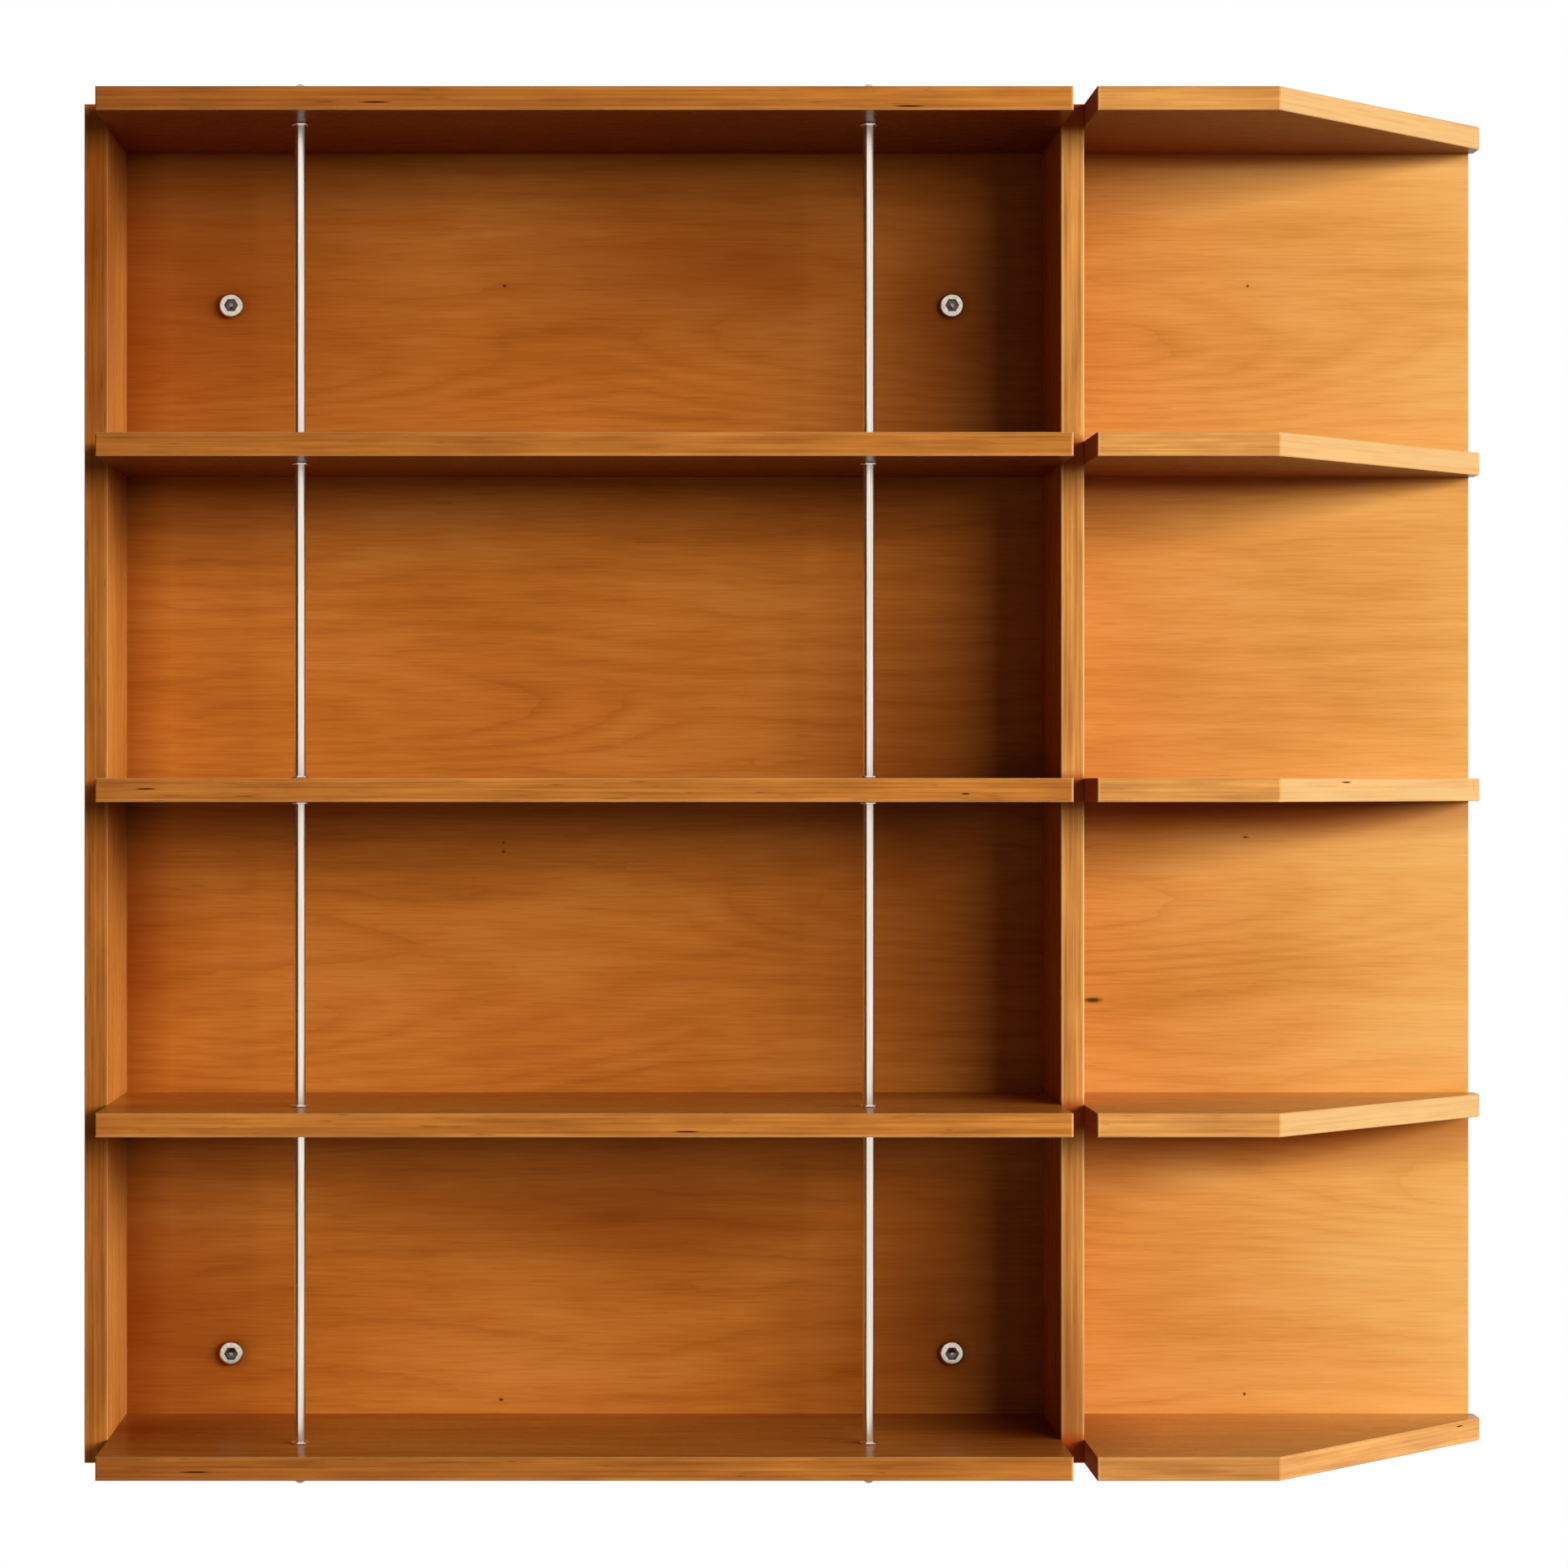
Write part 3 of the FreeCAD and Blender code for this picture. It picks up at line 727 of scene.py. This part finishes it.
def wall_bolt(head, panel, reach):
    """A low round head with a hexagon socket, a plain shoulder through the panel and a threaded end.

    Thread: r = core + depth * triangle(height / pitch - angle / 2 pi), faded out at both ends.
    """
    floor_level = SOCKET_DEPTH - head
    core = BOLT_THREAD - THREAD_DEPTH
    # Drill point, floor, foot and top of the walls, and rim: as shares of the hexagon, and as heights
    socket = hexagon(SOCKET_FLATS) * np.array([[0.03], [0.55], [0.97], [1.0], [1.09]])
    levels = [floor_level + SOCKET_POINT, floor_level, floor_level, SOCKET_BEVEL - head, -head]
    socket_rise = np.repeat(np.array(levels)[:, None], SEGMENTS, axis=1)
    shank = rounded([(SOCKET_FLATS * 0.64, -head), (BOLT_HEAD, -head), (BOLT_HEAD, 0), (BOLT_SHOULDER, 0),
                     (BOLT_SHOULDER, panel), (core, panel)], {1}, BOLT_HEAD_ROUND, 6)
    shank, shank_rise = rings(shank)
    climb = np.linspace(0.0, reach, int(round(reach / THREAD_PITCH)) * 8 + 1)[:, None]
    ridge = 1.0 - np.abs(2.0 * np.mod(climb / THREAD_PITCH - ANGLES / (2.0 * math.pi), 1.0) - 1.0)
    fade = np.clip(np.minimum(climb / (1.5 * THREAD_PITCH), (reach - climb) / THREAD_PITCH), 0.0, 1.0)
    thread = core + THREAD_DEPTH * ridge * fade
    thread_rise = np.repeat(panel + climb, SEGMENTS, axis=1)
    return ring_stack(np.vstack([socket, shank, thread]), np.vstack([socket_rise, shank_rise, thread_rise]))


def socket_shade(points, head):
    """Painted shade in the socket of a bolt: dark below its rim, lighter on the drilled point of its floor,
    where light reaches it.
    """
    reach = np.hypot(points[:, X], points[:, Y])
    inside = (reach < SOCKET_REACH) & (points[:, Z] < 0.0) & (points[:, Z] > 0.1 * MM - head)
    return np.where(inside, np.where(reach < 1.0 * MM, 0.3, 0.96), 0.0)


def wood_screw():
    """A raised head: h = dome (1 - (r / rim)^2), sunk by a cross where one of its arms is near."""
    rim, dome, recess, arm = 4.0 * MM, 0.7 * MM, 1.3 * MM, 0.55 * MM
    radius = np.repeat(np.linspace(1.0, 0.03, 14)[:, None] * rim, SEGMENTS, axis=1)
    off_arm = radius * np.minimum(np.abs(np.cos(ANGLES)), np.abs(np.sin(ANGLES)))
    cross = (off_arm < arm) & (radius < 0.62 * rim)
    height = dome * (1.0 - (radius / rim) ** 2) - recess * cross
    seat = np.full((1, SEGMENTS), -0.2 * MM)
    return ring_stack(np.vstack([radius[:1], radius]), np.vstack([seat, height]))


def screw_places():
    """Heads on the rear of the panel: along each shelf, and up each upright between the shelves."""
    inset = 110.0 * MM
    columns = [BAY_LEFT + inset, (BAY_LEFT + BAY_RIGHT) / 2, BAY_RIGHT - inset, OPEN_BAY + inset]
    middles = [(low.z + high.z) / 2 for low, high in map(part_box, SHELVES)]
    places = [(x, 0.0, z) for x in columns for z in middles]
    for low, high in map(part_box, UPRIGHTS):
        places += [((low.x + high.x) / 2, 0.0, (a + b) / 2) for a, b in zip(middles[:-1], middles[1:])]
    return places


def metal_pieces():
    steel = drawn_steel()
    zinc = zinc_plated_steel()
    for node in TUBES:
        spacer_tube(node, steel)
    for node in RODS:
        dress(node, zinc)

    top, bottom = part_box("top_shelf")[1].z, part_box("bottom_shelf")[0].z
    washer_low, washer_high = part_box("end_washers")
    washer = washer_high.z - top
    ends = [((low.x + high.x) / 2, (low.y + high.y) / 2, z, axis)
            for low, high in map(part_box, RODS) for z, axis in ((top, "+Z"), (bottom, "-Z"))]
    disc = end_washer((washer_high.y - washer_low.y) / 2, washer)
    discs = [placed(disc, (x, y, z), axis) for x, y, z, axis in ends]
    piece("rod_end_washers", discs, zinc, ["end_washers"])
    lift = {"+Z": washer, "-Z": -washer}
    nut = cap_nut(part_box("cap_nuts")[1].z - washer_high.z)
    nuts = [placed(nut, (x, y, z + lift[axis]), axis) for x, y, z, axis in ends]
    piece("domed_cap_nuts", nuts, zinc, ["cap_nuts"])

    low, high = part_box("wall_bolts")
    head = PANEL_FACE - low.y
    bolt = wall_bolt(head, -PANEL_FACE, high.y)
    bolts = [placed(bolt, (x, PANEL_FACE, z), "+Y") for x, z in bolt_places()]
    piece("socket_head_bolts", bolts, zinc, ["wall_bolts"], socket_shade(bolt[0], head))
    screw = wood_screw()
    screws = [placed(screw, place, "+Y") for place in screw_places()]
    piece("panel_screws", screws, yellow_zinc_steel())


# Studio

AMBIENT = 0.05
ROOM_FILL = "#FFCF94"
LIGHT_DISTANCE = 14.0
# Lights: degrees to the right of straight in front, degrees over the middle of the unit, then size,
# power and colour
WINDOW = (51.0, 10.8, (20.0, 4.2), 3680.0, "#FFF8EE")
FRONT_CARD = (0.0, 0.0, (5.5, 5.5), 66.0, "#FFE9CF")
BACK_CARD = (225.0, 0.0, (5.5, 2.8), 1500.0, "#FFF8EE")
CURTAIN_BROWN = "#3E2E21"
CURTAIN_PLACE = -3.0                 # X of the dark curtain at the left of the room
CURTAIN_DEPTH = (0.5, -4.4)
CURTAIN_HEIGHT = (-1.4, 2.6)
FLOOR_PALE = "#EDECEA"
FLOOR_ROWS = 24
FLOOR_REACH = 2.8
FLOOR_FADE = (1.0, 2.7)              # from where to where the floor runs out to white
FLOOR_DROP = 0.95                    # bottom shelf to floor
WHITE = (1.0, 1.0, 1.0, 1.0)


def floor():
    """A plain pale disc under the hung unit, whose rim runs out to the white around it for the camera."""
    rows = np.linspace(1.0, 0.03, FLOOR_ROWS) * FLOOR_REACH
    shape = ring_stack(*rings(np.stack([rows, np.zeros(FLOOR_ROWS)], axis=1)))
    points, quads, triangles = placed(shape, (0.0, 0.0, CAD_BOX[0][Z] - FLOOR_DROP), "+Z")
    mesh = joined_mesh("floor", [(points, quads, triangles[SEGMENTS:])])
    material, tree = new_material("pale_floor")
    place = add(tree, "TexCoord", None, "Object")
    flat = add(tree, "VectorMath", {0: place, 1: (1.0, 1.0, 0.0)}, operation="MULTIPLY")
    radius = add(tree, "VectorMath", {0: flat}, "Value", operation="LENGTH")
    rim = add(tree, "MapRange", {0: radius, 1: FLOOR_FADE[0], 2: FLOOR_FADE[1], 3: 0.5, 4: 1.0},
              interpolation_type="SMOOTHSTEP")
    seen = add(tree, "LightPath", None, "Is Camera Ray")
    share = add(tree, "Math", {0: rim, 1: seen}, operation="MULTIPLY")
    pale = add(tree, "BsdfDiffuse", {"Color": linear(FLOOR_PALE)})
    white = add(tree, "Emission", {"Color": WHITE, "Strength": 1.0})
    top = add(tree, "MixShader", {0: share, 1: pale, 2: white})
    below = add(tree, "NewGeometry", None, "Backfacing")
    mix = add(tree, "MixShader", {0: below, 1: top, 2: add(tree, "BsdfTransparent")})
    add(tree, "OutputMaterial", {0: mix}, None)
    mesh.materials.append(material)
    obj = bpy.data.objects.new("floor", mesh)
    bpy.context.scene.collection.objects.link(obj)


def curtain():
    """A dark brown cloth at the left of the room: point (i, j) is at depth y[i] and height z[j].

    Only reflections show it, as the dark side of the metal.
    """
    depths, heights = np.meshgrid(CURTAIN_DEPTH, CURTAIN_HEIGHT, indexing="ij")
    points = np.stack([np.full(4, CURTAIN_PLACE), depths.ravel(), heights.ravel()], axis=1)
    mesh = bpy.data.meshes.new("curtain")
    mesh.from_pydata(points.tolist(), [], [(0, 2, 3, 1)])
    material, tree = new_material("brown_cloth")
    cloth = add(tree, "BsdfDiffuse", {"Color": linear(CURTAIN_BROWN)})
    add(tree, "OutputMaterial", {0: cloth}, None)
    mesh.materials.append(material)
    obj = bpy.data.objects.new("curtain", mesh)
    obj.visible_camera = False
    obj.visible_diffuse = False
    obj.visible_shadow = False
    bpy.context.scene.collection.objects.link(obj)


def world():
    """White to the camera and in reflections, and for the rest a low even fill, warm from the room."""
    surroundings = bpy.data.worlds.new("white_studio")
    bpy.context.scene.world = surroundings
    surroundings.use_nodes = True
    tree = surroundings.node_tree
    tree.nodes.clear()
    path = add(tree, "LightPath", None, None).outputs
    shown = add(tree, "Math", {0: path["Is Camera Ray"], 1: path["Is Glossy Ray"]}, operation="MAXIMUM")
    shown = add(tree, "Math", {0: shown, 1: path["Is Transmission Ray"]}, operation="MAXIMUM")
    fill = add(tree, "Background", {"Color": linear(ROOM_FILL), "Strength": AMBIENT})
    white = add(tree, "Background", {"Color": WHITE, "Strength": 1.0})
    mix = add(tree, "MixShader", {0: shown, 1: fill, 2: white})
    add(tree, "OutputWorld", {0: mix}, None)


def soft_light(name, azimuth, height, size, power, colour):
    """A soft panel of light that faces the middle of the unit. Metal mirrors the studio, not the panel."""
    light = bpy.data.lights.new(name, "AREA")
    light.shape = "RECTANGLE"
    light.size, light.size_y = size
    light.energy = power
    light.color = linear(colour)[:3]
    obj = bpy.data.objects.new(name, light)
    obj.visible_camera = False
    obj.visible_glossy = False
    turn, tilt = math.radians(azimuth), math.radians(height)
    middle = (np.array(CAD_BOX[0]) + np.array(CAD_BOX[1])) / 2
    way = np.array([math.cos(tilt) * math.sin(turn), -math.cos(tilt) * math.cos(turn), math.sin(tilt)])
    obj.location = middle + LIGHT_DISTANCE * way
    obj.rotation_euler = (math.pi / 2 - tilt, 0.0, turn)
    bpy.context.scene.collection.objects.link(obj)


def lights():
    """A wide low window from the right, a weak card in front, and a card behind for the far sides."""
    soft_light("window", *WINDOW)
    soft_light("front_card", *FRONT_CARD)
    soft_light("back_card", *BACK_CARD)


def camera():
    """The photograph's view: straight at the wall, shifted so that the lines into it meet where they do."""
    data = bpy.data.cameras.new("camera")
    focal_pixels = CAMERA_STANDOFF / (FRONT_MM_PER_PIXEL * MM)
    data.sensor_width = SENSOR
    data.lens = focal_pixels * SENSOR / IMAGE
    data.shift_x = (IMAGE / 2 - VANISHING_POINT[0]) / IMAGE
    data.shift_y = (VANISHING_POINT[1] - IMAGE / 2) / IMAGE
    obj = bpy.data.objects.new("camera", data)
    obj.location = ((BAY_LEFT + BAY_RIGHT) / 2, SHELF_FRONT - CAMERA_STANDOFF, EYE_OVER_ORIGIN)
    obj.rotation_euler = (math.pi / 2, 0.0, 0.0)
    bpy.context.scene.collection.objects.link(obj)
    bpy.context.scene.camera = obj


boards()
metal_pieces()
floor()
curtain()
world()
lights()
camera()
bpy.context.scene.view_settings.view_transform = "Standard"
